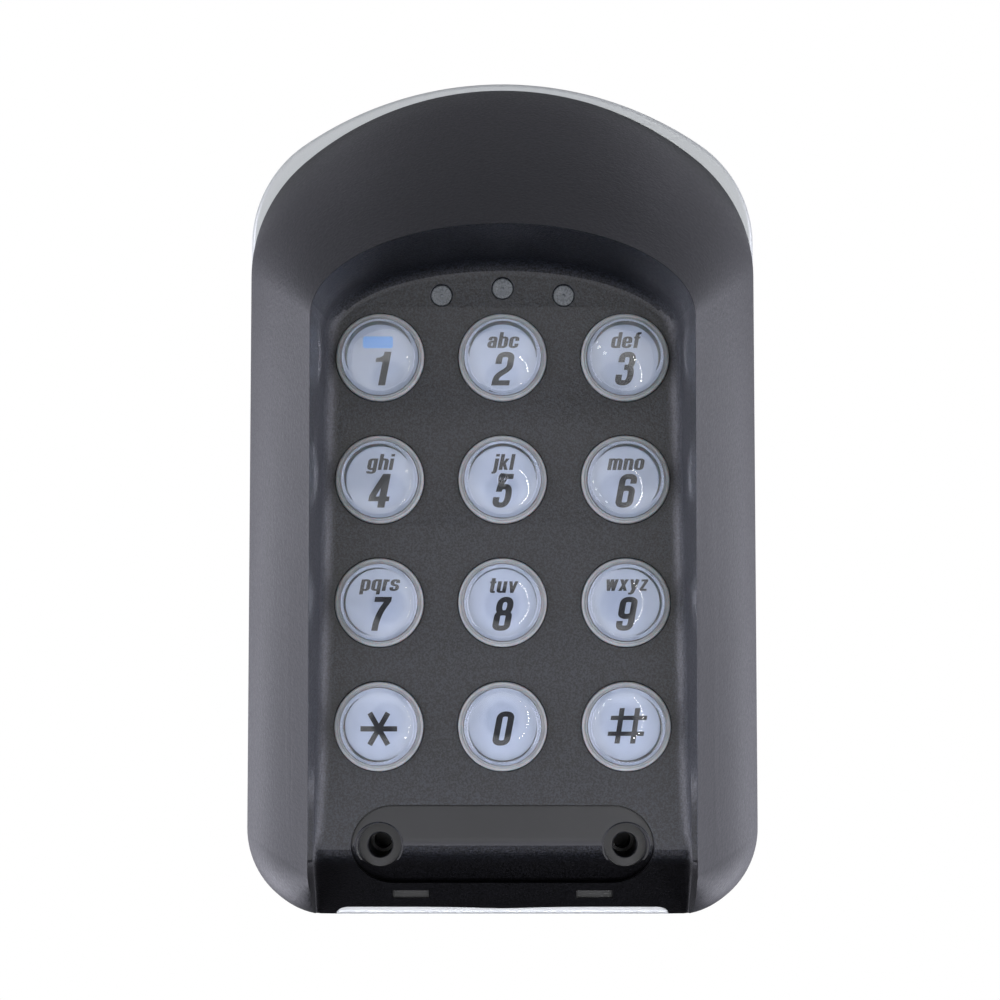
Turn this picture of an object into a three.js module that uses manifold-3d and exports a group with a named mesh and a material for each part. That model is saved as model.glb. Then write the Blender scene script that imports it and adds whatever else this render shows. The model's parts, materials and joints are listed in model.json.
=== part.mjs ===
// Wall-mounted keypad access unit with a hooded black cover on a silver back housing.
// Millimetres. +Z up, front faces -Y. Origin: centre of the flat back face, against the wall.

import * as THREE from 'three';
import { mergeVertices } from 'three/addons/utils/BufferGeometryUtils.js';
import Module from 'manifold-3d';

const wasm = await Module();
wasm.setup();

// ---------- driving dimensions ----------

// outline
const HALF_WIDTH = 41;
const COVER_TOP = 66.6;
const HOUSING_TOP = 67.8;
const BOTTOM = -67.3;
const CORNER_RADIUS = 13.8;
const COVER_CROWN_RADIUS = 49.5;
const COVER_SHOULDER_RADIUS = 25;
const HOUSING_CROWN_RADIUS = 57;
const HOUSING_SHOULDER_RADIUS = 20;

// depths, measured forward from the wall
const JOINT_DEPTH = 6;
const PANEL_DEPTH = 22;
const HOOD_DEPTH = 42;
const SHELL = 2.4;

// hood opening, the edge round the recessed panel
const OPENING_TOP = 37.5;
const OPENING_SPRING = 24.1;
const OPENING_HALF_TOP = 28.4;
const OPENING_HALF_BOTTOM = 29.9;
const OPENING_BOTTOM = -55.6;
const OPENING_BOTTOM_DEPTH = 23.2;
const WALL_DRAFT = 1.0;
const CEILING_DRAFT = 2.2;
const HOOD_BULGE = 1.6;
const CHIN_BULGE = 0.3;

// keypad
const KEY_PITCH = 19;
const KEY_TOP_ROW = 20.3;
const KEY_HOLE_RADIUS = 7.0;
const KEY_TRAVEL = 1.2;
const PAD_RADIUS = 6.75;
const PAD_PROUD = 0.8;
const CAP_RADIUS = 5.9;
const CAP_DOME = 1.8;
const LEGEND_RADIUS = 5.3;
const FIT_GAP = 0.06;
const TURNED_SIDES = 14;

// circuit board and what is on it
const BOARD_DEPTH = 14.6;
const BOARD_THICKNESS = 1.6;
const BOARD_HALF_WIDTH = 34;
const BOARD_TOP = 36;
const BOARD_BOTTOM = -47;
const BOARD_POST_X = 31;
const BOARD_POST_TOP = 25;
const BOARD_POST_BOTTOM = -43.5;

// signal lights: a centre one set slightly above the two beside it
const LIGHT_SPACING = 9.5;
const LIGHT_Z = 30.1;
const LIGHT_CENTRE_RISE = 1.1;
const LIGHT_RADIUS = 1.65;

// cover screws and the pocket round their bores
const SCREW_X = 19;
const SCREW_Z = -55.2;
const SCREW_HEAD_RADIUS = 3.7;
const SCREW_HEAD_DEPTH = 5;
const SCREW_SHANK_RADIUS = 1.9;
const POCKET_HALF_WIDTH = 23.3;
const POCKET_TOP = -48.7;
const POCKET_BOTTOM = -61.4;
const POCKET_DEPTH = 0.9;

// back housing
const FLOOR = 2.2;
const TONGUE_INSET = 5.0;
const TONGUE = 1.6;
const TONGUE_RISE = 2.2;
const CABLE_Z = 22;
const CABLE_HOLE_RADIUS = 7;
const CABLE_BORE_RADIUS = 4;
const WALL_SCREW_Z = 47;
const WALL_SCREW_X = 22;
const WALL_SCREW_RADIUS = 2.3;

const KEY_NAMES = ['1', '2', '3', '4', '5', '6', '7', '8', '9', 'star', '0', 'hash'];

// ---------- materials ----------

function plastic(color, roughness) {
  return new THREE.MeshStandardMaterial({ color, roughness, metalness: 0 });
}

const BLACK_PLASTIC = plastic(0x343337, 0.55);
const SILVER_PLASTIC = plastic(0xcbccd0, 0.4);
const CLEAR_PLASTIC = plastic(0xdfe6ee, 0.08);
const LEGEND_PRINT = plastic(0xb2bed2, 0.5);
const SILICONE = plastic(0xa9adac, 0.6);
const SMOKED_WINDOW = plastic(0x5f6468, 0.3);
const BLACK_RUBBER = plastic(0x1c1c1d, 0.85);
const BOARD_GREEN = plastic(0x1d5a35, 0.5);
const CHIP_BLACK = plastic(0x202022, 0.6);
const TERMINAL_GREEN = plastic(0x2f8f4e, 0.45);
const LIGHT_LENS = plastic(0xd9dcdd, 0.2);
const STEEL = new THREE.MeshStandardMaterial({ color: 0xb9bcc0, roughness: 0.35, metalness: 1 });

// ---------- solids ----------

function toSolid(geometry) {
  const bare = geometry.index ? geometry.toNonIndexed() : geometry.clone();
  bare.deleteAttribute('normal');
  bare.deleteAttribute('uv');
  const merged = mergeVertices(bare, 1e-4);
  const mesh = new wasm.Mesh({
    numProp: 3,
    vertProperties: new Float32Array(merged.attributes.position.array),
    triVerts: new Uint32Array(merged.index.array),
  });
  return new wasm.Manifold(mesh);
}

function toGeometry(solid) {
  const mesh = solid.getMesh();
  const geometry = new THREE.BufferGeometry();
  geometry.setAttribute('position', new THREE.BufferAttribute(mesh.vertProperties, 3));
  geometry.setIndex(new THREE.BufferAttribute(mesh.triVerts, 1));
  geometry.computeVertexNormals();
  return geometry;
}

// A flat outline in (x, z) carried from one depth to a deeper one, both measured from the wall.
function prism(outline, nearDepth, farDepth) {
  const shape = new THREE.Shape(outline.map(([x, z]) => new THREE.Vector2(x, z)));
  const geometry = new THREE.ExtrudeGeometry(shape, { depth: farDepth - nearDepth, bevelEnabled: false });
  geometry.rotateX(Math.PI / 2);
  geometry.translate(0, -nearDepth, 0);
  return toSolid(geometry);
}

function disc(x, z, radius, nearDepth, farDepth, sides = 20) {
  const geometry = new THREE.CylinderGeometry(radius, radius, farDepth - nearDepth, sides);
  geometry.translate(x, -(nearDepth + farDepth) / 2, z);
  return toSolid(geometry);
}

function block(x0, x1, z0, z1, nearDepth, farDepth) {
  const geometry = new THREE.BoxGeometry(x1 - x0, farDepth - nearDepth, z1 - z0);
  geometry.translate((x0 + x1) / 2, -(nearDepth + farDepth) / 2, (z0 + z1) / 2);
  return toSolid(geometry);
}

// A turned piece from (radius, depth) points, listed from the wall forwards round its outside.
function turned(x, z, profile, sides = TURNED_SIDES) {
  const points = profile.map(([radius, depth]) => new THREE.Vector2(radius, -depth)).reverse();
  const geometry = new THREE.LatheGeometry(points, sides);
  geometry.translate(x, 0, z);
  return toSolid(geometry);
}

// Closed skin over rings of equal length, each a list of [x, y, z].
function loft(rings) {
  const count = rings[0].length;
  const positions = [];
  const push = (...points) => points.forEach((point) => positions.push(...point));
  for (let r = 0; r < rings.length - 1; r += 1) {
    for (let i = 0; i < count; i += 1) {
      const j = (i + 1) % count;
      push(rings[r][i], rings[r][j], rings[r + 1][j]);
      push(rings[r][i], rings[r + 1][j], rings[r + 1][i]);
    }
  }
  for (const [ring, flip] of [[rings[0], true], [rings[rings.length - 1], false]]) {
    const flat = ring.map(([x, , z]) => new THREE.Vector2(x, z));
    for (const [a, b, c] of THREE.ShapeUtils.triangulateShape(flat, [])) {
      if (flip) push(ring[a], ring[c], ring[b]);
      else push(ring[a], ring[b], ring[c]);
    }
  }
  const geometry = new THREE.BufferGeometry();
  geometry.setAttribute('position', new THREE.Float32BufferAttribute(positions, 3));
  return toSolid(geometry);
}

// ---------- outlines ----------

const CORNER_STEPS = 6;
const ARCH_STEPS = 6;

function arc(cx, cz, radius, fromDegrees, toDegrees, steps) {
  const points = [];
  for (let i = 0; i <= steps; i += 1) {
    const angle = THREE.MathUtils.degToRad(fromDegrees + ((toDegrees - fromDegrees) * i) / steps);
    points.push([cx + radius * Math.cos(angle), cz + radius * Math.sin(angle)]);
  }
  return points;
}

const mirrorLeft = (points) => [...points].reverse().map(([x, z]) => [-x, z]);

// The casing outline, anticlockwise from the middle of the bottom edge: straight sides, rounded
// bottom corners, and a crown arc that runs into two tighter shoulder arcs. Inset moves it inwards.
function casingOutline(top, crownRadius, shoulderRadius, inset = 0) {
  const crownZ = top - crownRadius;
  const shoulderX = HALF_WIDTH - shoulderRadius;
  const shoulderZ = crownZ + Math.sqrt((crownRadius - shoulderRadius) ** 2 - shoulderX ** 2);
  const meet = THREE.MathUtils.radToDeg(Math.atan2(shoulderZ - crownZ, shoulderX));
  const cornerX = HALF_WIDTH - CORNER_RADIUS;
  const cornerZ = BOTTOM + CORNER_RADIUS;
  const right = [
    [0, BOTTOM + inset],
    ...arc(cornerX, cornerZ, CORNER_RADIUS - inset, -90, 0, CORNER_STEPS),
    [HALF_WIDTH - inset, (cornerZ + shoulderZ) / 2],
    ...arc(shoulderX, shoulderZ, shoulderRadius - inset, 0, meet, ARCH_STEPS),
    ...arc(0, crownZ, crownRadius - inset, meet, 90, ARCH_STEPS).slice(1),
  ];
  return [...right, ...mirrorLeft(right.slice(1, -1))];
}

const coverOutline = (inset) => casingOutline(COVER_TOP, COVER_CROWN_RADIUS, COVER_SHOULDER_RADIUS, inset);
const housingOutline = () => casingOutline(HOUSING_TOP, HOUSING_CROWN_RADIUS, HOUSING_SHOULDER_RADIUS);

// Half width of the hood opening at a height, wider towards the bottom.
function openingHalfWidth(z) {
  const fraction = (OPENING_SPRING - z) / (OPENING_SPRING - BOTTOM);
  return OPENING_HALF_TOP + (OPENING_HALF_BOTTOM - OPENING_HALF_TOP) * Math.max(0, fraction);
}

// How far forward the edge of the hood stands at a height: a straight slope from chin to brow.
function hoodDepth(z) {
  const slope = (HOOD_DEPTH - OPENING_BOTTOM_DEPTH) / (OPENING_TOP - OPENING_BOTTOM);
  return OPENING_BOTTOM_DEPTH + (z - OPENING_BOTTOM) * slope;
}

// The arched upper part of the hood opening, right half, from its spring line to its top.
function openingArch(sideGrow, topGrow) {
  const half = openingHalfWidth(OPENING_SPRING) + sideGrow;
  const rise = OPENING_TOP - OPENING_SPRING + topGrow;
  return arc(0, 0, 1, 0, 90, 2 * ARCH_STEPS).map(([x, z]) => [x * half, OPENING_SPRING + z * rise]);
}

// The hood opening as a ring with as many points as the casing outline.
function openingRing() {
  const corner = 4;
  const cornerZ = OPENING_BOTTOM + corner;
  const right = [
    [0, OPENING_BOTTOM],
    ...arc(openingHalfWidth(cornerZ) - corner, cornerZ, corner, -90, 0, CORNER_STEPS),
    [openingHalfWidth(-10), -10],
    ...openingArch(0, 0),
  ];
  return [...right, ...mirrorLeft(right.slice(1, -1))];
}

// ---------- front cover ----------

// The outside skin between the rim and the hood opening, bulging slightly, pushed in by a thickness.
function hoodRings(thickness, steps) {
  const rim = coverOutline(0);
  const opening = openingRing();
  const rings = [];
  for (let step = 0; step <= steps; step += 1) {
    const t = step / steps;
    rings.push(rim.map(([x, z], i) => {
      const [xo, zo] = opening[i];
      const across = Math.hypot(xo - x, zo - z);
      const forward = hoodDepth(zo) - JOINT_DEPTH;
      const length = Math.hypot(across, forward);
      const downward = Math.max(0, (zo - z) / across);
      const bulge = THREE.MathUtils.lerp(HOOD_BULGE, CHIN_BULGE, downward);
      const push = bulge * Math.sin(Math.PI * t) - thickness;
      const outX = ((x - xo) / across) * (forward / length);
      const outZ = ((z - zo) / across) * (forward / length);
      const depth = JOINT_DEPTH + forward * t + push * (across / length);
      return [x + (xo - x) * t + outX * push, -depth, z + (zo - z) * t + outZ * push];
    }));
  }
  return rings;
}

// Everything in front of the recessed panel, out through the hood and down past the chin.
function recess(grow, floorDepth) {
  const far = 60;
  const below = -80;
  const outline = (sideGrow, topGrow) => {
    const right = [
      [openingHalfWidth(below) + sideGrow, below],
      [openingHalfWidth(-10) + sideGrow, -10],
      ...openingArch(sideGrow, topGrow),
    ];
    return [...right, ...mirrorLeft(right.slice(0, -1))];
  };
  const floor = outline(grow - WALL_DRAFT, grow - CEILING_DRAFT);
  const edge = outline(grow, grow);
  const place = (points, depthAt) => points.map(([x, z]) => [x, -depthAt(z), z]);
  return loft([
    place(floor, () => floorDepth),
    place(edge, (z) => Math.max(hoodDepth(z), PANEL_DEPTH + 0.3)),
    place(edge, () => far),
  ]);
}

function keyCentres() {
  return KEY_NAMES.map((name, i) => {
    const column = i % 3;
    const row = Math.floor(i / 3);
    return { name, x: (column - 1) * KEY_PITCH, z: KEY_TOP_ROW - row * KEY_PITCH };
  });
}

function lightCentres() {
  return [
    { name: 'left', x: -LIGHT_SPACING, z: LIGHT_Z },
    { name: 'centre', x: 0, z: LIGHT_Z + LIGHT_CENTRE_RISE },
    { name: 'right', x: LIGHT_SPACING, z: LIGHT_Z },
  ];
}

function boardPosts() {
  return [
    [-BOARD_POST_X, BOARD_POST_TOP],
    [BOARD_POST_X, BOARD_POST_TOP],
    [-BOARD_POST_X, BOARD_POST_BOTTOM],
    [BOARD_POST_X, BOARD_POST_BOTTOM],
  ];
}

function pocketOutline() {
  const radius = (POCKET_TOP - POCKET_BOTTOM) / 2;
  const z = (POCKET_TOP + POCKET_BOTTOM) / 2;
  const x = POCKET_HALF_WIDTH - radius;
  return [...arc(x, z, radius, -90, 90, 10), ...arc(-x, z, radius, 90, 270, 10)];
}

function frontCover() {
  const skin = loft(hoodRings(0, 4));
  const body = skin.subtract(recess(0.02, PANEL_DEPTH));
  const inner = hoodRings(SHELL, 4);
  const mouth = inner[0].map(([x, , z]) => [x, -JOINT_DEPTH + 1, z]);
  const hollow = loft([mouth, ...inner]).subtract(recess(SHELL, PANEL_DEPTH - SHELL));
  let cover = body.subtract(hollow);

  for (const side of [-1, 1]) {
    const boss = disc(side * SCREW_X, SCREW_Z, 5.2, JOINT_DEPTH + 2.6, PANEL_DEPTH);
    cover = cover.add(boss.intersect(body));
  }
  for (const [x, z] of boardPosts()) {
    cover = cover.add(disc(x, z, 2.4, BOARD_DEPTH, PANEL_DEPTH).intersect(body));
  }

  const pocketStep = body.translate([0, POCKET_DEPTH, POCKET_DEPTH * 0.6]);
  cover = cover.subtract(prism(pocketOutline(), 10, 30).subtract(pocketStep));
  for (const side of [-1, 1]) {
    const x = side * SCREW_X;
    const seat = PANEL_DEPTH - SCREW_HEAD_DEPTH;
    cover = cover.subtract(turned(x, SCREW_Z, [
      [0, JOINT_DEPTH],
      [SCREW_SHANK_RADIUS, JOINT_DEPTH],
      [SCREW_SHANK_RADIUS, seat],
      [SCREW_HEAD_RADIUS - 0.4, seat],
      [SCREW_HEAD_RADIUS, PANEL_DEPTH],
      [SCREW_HEAD_RADIUS, PANEL_DEPTH + 3],
      [0, PANEL_DEPTH + 3],
    ], 20));
    const slotX = side * 14.1;
    cover = cover.subtract(block(slotX - 2.8, slotX + 2.8, -62.8, -61.5, 13.2, 20));
  }
  for (const { x, z } of keyCentres()) {
    cover = cover.subtract(disc(x, z, KEY_HOLE_RADIUS, PANEL_DEPTH - 4, PANEL_DEPTH + 2));
  }
  for (const { x, z } of lightCentres()) {
    cover = cover.subtract(disc(x, z, LIGHT_RADIUS, PANEL_DEPTH - 4, PANEL_DEPTH + 2, 16));
  }
  for (const [x, z] of boardPosts()) {
    cover = cover.subtract(disc(x, z, 1.2, BOARD_DEPTH - 1, BOARD_DEPTH + 5, 12));
  }
  return cover.subtract(block(-27.7, 27.7, BOTTOM - 2, BOTTOM + 1.1, JOINT_DEPTH - 1, 20));
}

// ---------- back housing and what seals it ----------

function backHousing() {
  let housing = prism(housingOutline(), 0, JOINT_DEPTH);
  const tongueTop = JOINT_DEPTH + TONGUE_RISE;
  housing = housing.add(prism(coverOutline(TONGUE_INSET), JOINT_DEPTH - 1, tongueTop));
  housing = housing.subtract(prism(coverOutline(TONGUE_INSET + TONGUE), FLOOR, tongueTop + 1));
  for (const side of [-1, 1]) {
    housing = housing.add(disc(side * SCREW_X, SCREW_Z, 4.2, FLOOR - 1, JOINT_DEPTH + 2.2));
    housing = housing.subtract(disc(side * SCREW_X, SCREW_Z, 1.4, FLOOR + 1, JOINT_DEPTH + 3, 12));
    housing = housing.subtract(disc(side * WALL_SCREW_X, -WALL_SCREW_Z + 12, WALL_SCREW_RADIUS, -1, FLOOR + 1, 16));
  }
  housing = housing.subtract(disc(0, WALL_SCREW_Z, WALL_SCREW_RADIUS, -1, FLOOR + 1, 16));
  return housing.subtract(disc(0, CABLE_Z, CABLE_HOLE_RADIUS, -1, FLOOR + 1));
}

// Rubber cord that lies on the housing's front edge, between the cover's wall and the tongue.
function coverSeal() {
  const outside = prism(coverOutline(TONGUE_INSET - 0.95), JOINT_DEPTH + 0.05, JOINT_DEPTH + 0.85);
  return outside.subtract(prism(coverOutline(TONGUE_INSET - 0.15), JOINT_DEPTH - 1, JOINT_DEPTH + 2));
}

// Flanged rubber ring in the cable hole, open through the middle.
function cableGrommet() {
  return turned(0, CABLE_Z, [
    [CABLE_BORE_RADIUS, 0.3],
    [CABLE_HOLE_RADIUS - 0.15, 0.3],
    [CABLE_HOLE_RADIUS - 0.15, FLOOR + 0.1],
    [CABLE_HOLE_RADIUS + 1.3, FLOOR + 0.1],
    [CABLE_HOLE_RADIUS + 1.3, FLOOR + 1.1],
    [CABLE_BORE_RADIUS, FLOOR + 1.1],
    [CABLE_BORE_RADIUS, 0.3],
  ], 20);
}

// ---------- keys ----------

// Silicone plunger: contact pill, flange held behind the panel, and the rim seen round the cap.
function keyPad({ x, z }) {
  const back = BOARD_DEPTH + KEY_TRAVEL + 0.2;
  const flange = PANEL_DEPTH - SHELL - 0.15;
  const rim = PANEL_DEPTH + PAD_PROUD;
  return turned(x, z, [
    [0, back],
    [2.6, back],
    [2.6, flange - 1.2],
    [PAD_RADIUS + 0.95, flange - 1.2],
    [PAD_RADIUS + 0.95, flange],
    [PAD_RADIUS, flange],
    [PAD_RADIUS, rim - 0.3],
    [PAD_RADIUS - 0.3, rim],
    [CAP_RADIUS + FIT_GAP, rim - 0.2],
    [CAP_RADIUS + FIT_GAP, rim - 1.7],
    [0, rim - 1.7],
  ]);
}

// Thin printed disc that shows through the cap.
function keyLegend({ x, z }) {
  const seat = PANEL_DEPTH + PAD_PROUD - 1.7 + FIT_GAP;
  return disc(x, z, LEGEND_RADIUS, seat, seat + 0.25, TURNED_SIDES);
}

// Clear cap: a short skirt round the legend under a shallow dome.
function keyCap({ x, z }) {
  const seat = PANEL_DEPTH + PAD_PROUD - 1.7 + FIT_GAP;
  const ceiling = seat + 0.25 + FIT_GAP;
  const crown = PANEL_DEPTH + PAD_PROUD + CAP_DOME;
  return turned(x, z, [
    [0, ceiling],
    [LEGEND_RADIUS + FIT_GAP, ceiling],
    [LEGEND_RADIUS + FIT_GAP, seat],
    [CAP_RADIUS, seat],
    [CAP_RADIUS, crown - 1.3],
    [CAP_RADIUS - 0.4, crown - 0.7],
    [CAP_RADIUS * 0.7, crown - 0.25],
    [CAP_RADIUS * 0.35, crown - 0.05],
    [0, crown],
  ]);
}

// Silicone sheet between the board and the panel, open round each key and each signal light.
function keypadMat() {
  const halfWidth = 28.3;
  const top = 30.8;
  const bottom = KEY_TOP_ROW - 3 * KEY_PITCH - 9;
  let mat = block(-halfWidth, halfWidth, bottom, top, BOARD_DEPTH + 0.05, PANEL_DEPTH - SHELL - 0.1);
  for (const { x, z } of keyCentres()) {
    mat = mat.subtract(disc(x, z, PAD_RADIUS + 1.25, BOARD_DEPTH - 1, PANEL_DEPTH));
  }
  for (const { x, z } of lightCentres()) {
    mat = mat.subtract(disc(x, z, LIGHT_RADIUS + 0.7, BOARD_DEPTH - 1, PANEL_DEPTH, 16));
  }
  for (const [x, z] of boardPosts()) {
    mat = mat.subtract(disc(x, z, 2.9, BOARD_DEPTH - 1, PANEL_DEPTH, 16));
  }
  return mat;
}

// ---------- board and its components ----------

const BOARD_BACK = BOARD_DEPTH - BOARD_THICKNESS;

function circuitBoard() {
  let board = block(-BOARD_HALF_WIDTH, BOARD_HALF_WIDTH, BOARD_BOTTOM, BOARD_TOP, BOARD_BACK, BOARD_DEPTH - 0.05);
  for (const [x, z] of boardPosts()) {
    board = board.subtract(disc(x, z, 1.4, BOARD_BACK - 1, BOARD_DEPTH + 1, 12));
  }
  return board;
}

function boardScrew([x, z]) {
  return turned(x, z, [
    [0, BOARD_BACK - 1.6],
    [1.6, BOARD_BACK - 1.6],
    [2.2, BOARD_BACK - 0.8],
    [2.2, BOARD_BACK - FIT_GAP],
    [1.05, BOARD_BACK - FIT_GAP],
    [1.05, BOARD_DEPTH + 3.6],
    [0, BOARD_DEPTH + 4.2],
  ], 12);
}

function signalLamp({ x, z }) {
  const radius = 1.5;
  const tip = PANEL_DEPTH - SHELL - 0.4;
  return turned(x, z, [
    [0, BOARD_DEPTH],
    [radius + 0.3, BOARD_DEPTH],
    [radius + 0.3, BOARD_DEPTH + 0.8],
    [radius, BOARD_DEPTH + 0.8],
    [radius, tip - radius],
    [radius * 0.7, tip - radius * 0.3],
    [0, tip],
  ], 16);
}

function lightWindow({ x, z }) {
  return disc(x, z, LIGHT_RADIUS - FIT_GAP, PANEL_DEPTH - SHELL - 0.05, PANEL_DEPTH - 0.3, 16);
}

// Six-way terminal block: screws reached from the back, wires in from below.
function terminalBlock() {
  const ways = 6;
  const pitch = 4.6;
  const half = (ways * pitch) / 2;
  const z0 = 5;
  const z1 = 13;
  const front = BOARD_BACK - FIT_GAP;
  let body = block(-half, half, z0, z1, 4.4, front);
  for (let way = 0; way < ways; way += 1) {
    const x = (way + 0.5) * pitch - half;
    body = body.subtract(disc(x, (z0 + z1) / 2, 1.6, 4, 7, 10));
    body = body.subtract(block(x - 1.5, x + 1.5, z0 - 1, z0 + 2, 8.4, 11.6));
  }
  return body;
}

function buzzer() {
  const back = 6;
  const front = BOARD_BACK - FIT_GAP;
  return turned(-19, -18, [
    [0, back + 1],
    [1.2, back + 1],
    [1.2, back],
    [5.6, back],
    [6, back + 0.4],
    [6, front],
    [0, front],
  ]);
}

function controllerChip() {
  return block(2, 14, -24, -12, BOARD_BACK - 1.8, BOARD_BACK - FIT_GAP);
}

// ---------- assembly ----------

const unit = new THREE.Group();

function place(name, solid, material, parent = unit) {
  const mesh = new THREE.Mesh(toGeometry(solid), material);
  mesh.name = name;
  parent.add(mesh);
}

place('back_housing', backHousing(), SILVER_PLASTIC);
place('front_cover', frontCover(), BLACK_PLASTIC);
place('cover_seal', coverSeal(), BLACK_RUBBER);
place('cable_grommet', cableGrommet(), BLACK_RUBBER);
place('circuit_board', circuitBoard(), BOARD_GREEN);
place('keypad_mat', keypadMat(), SILICONE);
place('terminal_block', terminalBlock(), TERMINAL_GREEN);
place('buzzer', buzzer(), CHIP_BLACK);
place('controller_chip', controllerChip(), CHIP_BLACK);

for (const key of keyCentres()) {
  const group = new THREE.Group();
  unit.add(group);
  place(`key_pad_${key.name}`, keyPad(key), SILICONE, group);
  place(`key_legend_${key.name}`, keyLegend(key), LEGEND_PRINT, group);
  place(`key_cap_${key.name}`, keyCap(key), CLEAR_PLASTIC, group);
}

for (const light of lightCentres()) {
  place(`led_window_${light.name}`, lightWindow(light), SMOKED_WINDOW);
  place(`led_${light.name}`, signalLamp(light), LIGHT_LENS);
}

boardPosts().forEach((post, i) => place(`board_screw_${i + 1}`, boardScrew(post), STEEL));

export default unit;
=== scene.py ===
"""Wall-mounted keypad access unit: finished surfaces and studio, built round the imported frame."""

import json
import math

import bmesh
import bpy
from mathutils import Matrix, Vector


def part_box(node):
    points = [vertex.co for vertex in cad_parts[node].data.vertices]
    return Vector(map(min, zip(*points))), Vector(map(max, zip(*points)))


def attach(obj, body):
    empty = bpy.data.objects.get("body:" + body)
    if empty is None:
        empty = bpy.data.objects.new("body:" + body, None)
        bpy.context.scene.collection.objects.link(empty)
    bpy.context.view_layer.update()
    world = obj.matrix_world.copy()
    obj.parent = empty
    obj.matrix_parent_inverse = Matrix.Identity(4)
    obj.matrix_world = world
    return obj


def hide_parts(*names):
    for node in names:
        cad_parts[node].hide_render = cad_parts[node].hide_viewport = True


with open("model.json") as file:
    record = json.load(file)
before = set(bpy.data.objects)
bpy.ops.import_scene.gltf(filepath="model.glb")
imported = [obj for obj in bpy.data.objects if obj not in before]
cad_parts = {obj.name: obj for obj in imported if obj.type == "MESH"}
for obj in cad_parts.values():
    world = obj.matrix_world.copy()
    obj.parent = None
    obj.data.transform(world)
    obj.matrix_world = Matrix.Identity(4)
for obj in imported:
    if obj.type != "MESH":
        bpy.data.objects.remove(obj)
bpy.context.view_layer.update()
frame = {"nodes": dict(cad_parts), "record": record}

# ---------- places and sizes, in millimetres ----------

MM = 0.001
KEYS = ["1", "2", "3", "4", "5", "6", "7", "8", "9", "star", "0", "hash"]
LIGHTS = ["left", "centre", "right"]
BOARD_SCREWS = [f"board_screw_{index}" for index in range(1, 5)]


def node_box(node):
    low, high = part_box(node)
    return Vector(low) / MM, Vector(high) / MM


def node_centre(node):
    low, high = node_box(node)
    return (low.x + high.x) / 2, (low.z + high.z) / 2


def mount_place(name):
    mount = next(m for m in frame["record"]["mounts"] if m["name"] == name)
    return Vector(mount["pos_m"]) / MM


_, cover_high = node_box("front_cover")
housing_low, housing_high = node_box("back_housing")
pad_low, pad_high = node_box("key_pad_5")
cap_low, cap_high = node_box("key_cap_5")
legend_low, legend_high = node_box("key_legend_5")

HALF_WIDTH = housing_high.x
COVER_TOP = cover_high.z
HOUSING_TOP = housing_high.z
BOTTOM = housing_low.z
JOINT = -cover_high.y
PAD_PROUD = 0.8
PANEL = -pad_low.y - PAD_PROUD
SHELL = 2.4
PAD_RADIUS = 6.82
KEY_HOLE_RADIUS = 6.9
CAP_RADIUS = 5.9
LEGEND_RADIUS = 5.3
DISC_RADIUS = 5.0
LEGEND_FRONT = -legend_low.y
CAP_SEAT = -cap_high.y
CAP_CROWN = -cap_low.y
LIGHT_RADIUS = 1.72
SCREW_X = 19.0
SCREW_SHANK_RADIUS = 1.9
SCREW_HEAD_RADIUS = 3.7
SCREW_Z = mount_place("screw_seat_right").z
SCREW_SEAT = -mount_place("screw_seat_right").y

# outline radii and the hood opening: the CAD's sizes, apart from CHEEK_BOTTOM
CORNER_RADIUS = 13.8
COVER_CROWN_RADIUS = 49.5
COVER_SHOULDER_RADIUS = 25.0
HOUSING_CROWN_RADIUS = 57.0
HOUSING_SHOULDER_RADIUS = 20.0
HOOD = 42.0
OPENING_TOP = 37.5
OPENING_SPRING = 24.1
OPENING_HALF_TOP = 28.4
OPENING_HALF_BOTTOM = 29.9
OPENING_BOTTOM = -55.6
OPENING_BOTTOM_DEPTH = 23.2
# where the side walls of the recess end in the photograph
CHEEK_BOTTOM = -61.0
CHEEK_CORNER = 1.6
WALL_DRAFT = 1.0
CEILING_DRAFT = 2.2
HOOD_BULGE = 1.6
TONGUE_INSET = 5.0
TONGUE = 1.6
TONGUE_RISE = 2.2
FLOOR = 2.2

# ---------- outlines ----------


def arc(cx, cz, radius, start, end, steps):
    angles = [math.radians(start + (end - start) * i / steps) for i in range(steps + 1)]
    return [(cx + radius * math.cos(a), cz + radius * math.sin(a)) for a in angles]


def mirror_left(points):
    return [(-x, z) for x, z in reversed(points)]


def casing_outline(top, crown, shoulder, inset, corner_steps, arch_steps):
    """Outline from the middle of the bottom edge, anticlockwise, moved inwards by inset."""
    crown_z = top - crown
    shoulder_x = HALF_WIDTH - shoulder
    shoulder_z = crown_z + math.sqrt((crown - shoulder) ** 2 - shoulder_x**2)
    meet = math.degrees(math.atan2(shoulder_z - crown_z, shoulder_x))
    corner_x = HALF_WIDTH - CORNER_RADIUS
    corner_z = BOTTOM + CORNER_RADIUS
    right = [(0, BOTTOM + inset)]
    right += arc(corner_x, corner_z, CORNER_RADIUS - inset, -90, 0, corner_steps)
    right += [(HALF_WIDTH - inset, (corner_z + shoulder_z) / 2)]
    right += arc(shoulder_x, shoulder_z, shoulder - inset, 0, meet, arch_steps)
    right += arc(0, crown_z, crown - inset, meet, 90, arch_steps)[1:]
    return right + mirror_left(right[1:-1])


def cover_outline(inset, corner_steps=24, arch_steps=40):
    radii = COVER_CROWN_RADIUS, COVER_SHOULDER_RADIUS
    return casing_outline(COVER_TOP, *radii, inset, corner_steps, arch_steps)


def housing_outline(inset, corner_steps=24, arch_steps=40):
    radii = HOUSING_CROWN_RADIUS, HOUSING_SHOULDER_RADIUS
    return casing_outline(HOUSING_TOP, *radii, inset, corner_steps, arch_steps)


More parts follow.
